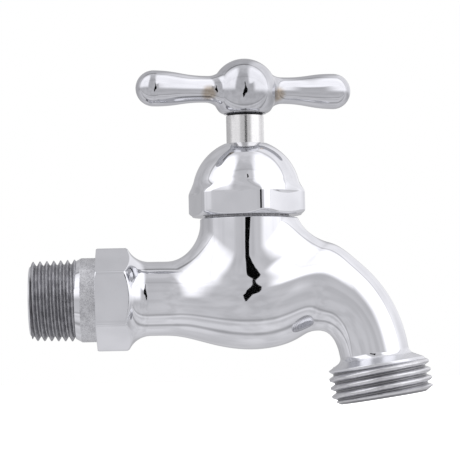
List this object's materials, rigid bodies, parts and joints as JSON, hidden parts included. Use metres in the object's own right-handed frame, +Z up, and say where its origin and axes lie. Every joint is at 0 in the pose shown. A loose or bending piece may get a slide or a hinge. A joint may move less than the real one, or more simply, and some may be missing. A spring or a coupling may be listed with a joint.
{
  "type": "hose bibb",
  "caption": "Chromed compression tap with a tapered pipe thread inlet, a domed bonnet nut, a tee handle and a curved spout with a hose thread.",
  "frame": {"origin": "middle of the inlet's open end, on the axis of the pipe thread", "axes": "+X runs along the inlet's axis into the tap, towards the spout; +Z is up along the stem; +Y is across, away from the viewer of the picture"},
  "size_m": [0.1053, 0.031, 0.0916],
  "materials": {
    "chrome_plate": "polished chrome plate",
    "satin_stem": "turned satin",
    "bare_brass": "bare machined brass",
    "washer_rubber": "matte black rubber",
    "gasket_fibre": "red vulcanised fibre",
    "packing_cord": "graphited packing"
  },
  "bodies": {
    "root": {"body": "chrome_plate", "valve_seat": "bare_brass", "stem_guide": "bare_brass", "guide_gasket": "gasket_fibre", "packing_washer": "bare_brass", "stem_packing": "packing_cord", "bonnet_nut": "chrome_plate"},
    "disc_carrier": {"disc_holder": "bare_brass", "seat_washer": "washer_rubber", "washer_screw": "bare_brass"},
    "stem_unit": {"stem": "satin_stem", "handle": "chrome_plate"}
  },
  "joints": [
    {"name": "stem_lift", "type": "slide", "parent": "root", "child": "disc_carrier", "axis": [0, 0, 1], "range_m": [0, 0.00562]},
    {"name": "handle_turn", "type": "hinge", "parent": "disc_carrier", "child": "stem_unit", "pos_m": [0.0574, 0, 0.05], "axis": [0, 0, 1], "range_deg": [0, 810]}
  ],
  "couplings": [
    {"joint": "handle_turn", "follows": "stem_lift", "rad_per_m": 2513.3}
  ]
}
